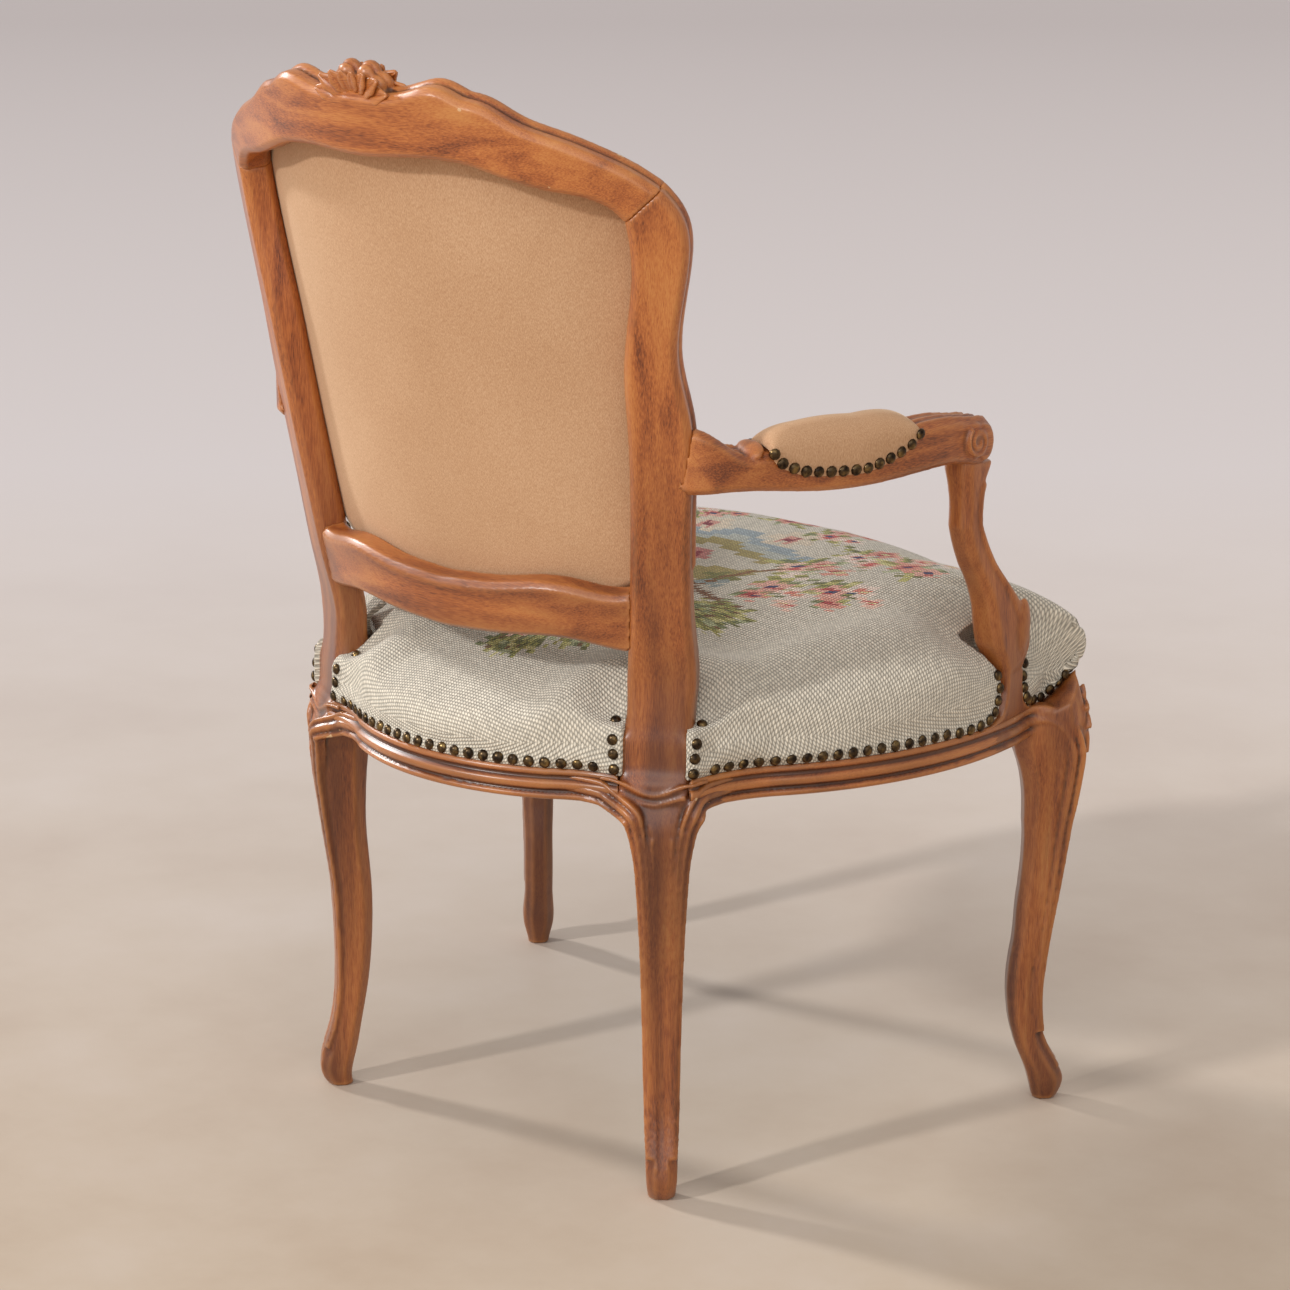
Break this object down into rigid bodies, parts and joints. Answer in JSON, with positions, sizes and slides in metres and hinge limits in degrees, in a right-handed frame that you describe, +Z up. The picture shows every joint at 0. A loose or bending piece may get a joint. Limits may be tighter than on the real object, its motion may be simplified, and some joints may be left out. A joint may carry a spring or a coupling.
{
  "type": "armchair",
  "caption": "Carved beech armchair with cabriole legs, serpentine seat rails, raked curved back, scrolled arms, stuffed nailed needlepoint seat and velvet arm pads.",
  "frame": {"origin": "on the floor, under the middle of the chair's outer box", "axes": "+Z up, -Y the way the sitter faces, +X the sitter's left"},
  "size_m": [0.681, 0.628, 0.9486],
  "materials": {
    "frame_wood": "satin lacquer",
    "dowel_wood": "plain",
    "needlepoint": "woven",
    "velvet": "short pile",
    "stuffing": "loose fibre",
    "webbing": "woven jute",
    "hessian": "woven jute",
    "bottom_cloth": "plain weave",
    "nail_bronze": "antique bronze",
    "screw_steel": "plain"
  },
  "bodies": {
    "root": {"arm_dowels": "dowel_wood", "arm_left": "frame_wood", "arm_pad_cover_left": "velvet", "arm_pad_cover_right": "velvet", "arm_pad_nails_left": "nail_bronze", "arm_pad_nails_right": "nail_bronze", "arm_pad_stuffing_left": "stuffing", "arm_pad_stuffing_right": "stuffing", "arm_right": "frame_wood", "arm_support_left": "frame_wood", "arm_support_right": "frame_wood", "arm_support_screws": "screw_steel", "back_dowels": "dowel_wood", "back_hessian": "hessian", "back_nails": "nail_bronze", "back_stuffing": "stuffing", "back_webbing": "webbing", "bottom_cloth": "bottom_cloth", "corner_block_screws": "screw_steel", "crest_rail": "frame_wood", "front_corner_block_left": "dowel_wood", "front_corner_block_right": "dowel_wood", "front_leg_left": "frame_wood", "front_leg_right": "frame_wood", "front_seat_rail": "frame_wood", "inside_back_cover": "needlepoint", "lower_back_rail": "frame_wood", "outside_back_cover": "velvet", "rear_corner_block_left": "dowel_wood", "rear_corner_block_right": "dowel_wood", "rear_post_left": "frame_wood", "rear_post_right": "frame_wood", "rear_seat_rail": "frame_wood", "seat_cover": "needlepoint", "seat_dowels": "dowel_wood", "seat_hessian": "hessian", "seat_nails": "nail_bronze", "seat_stuffing": "stuffing", "seat_webbing": "webbing", "side_seat_rail_left": "frame_wood", "side_seat_rail_right": "frame_wood"}
  },
  "joints": []
}
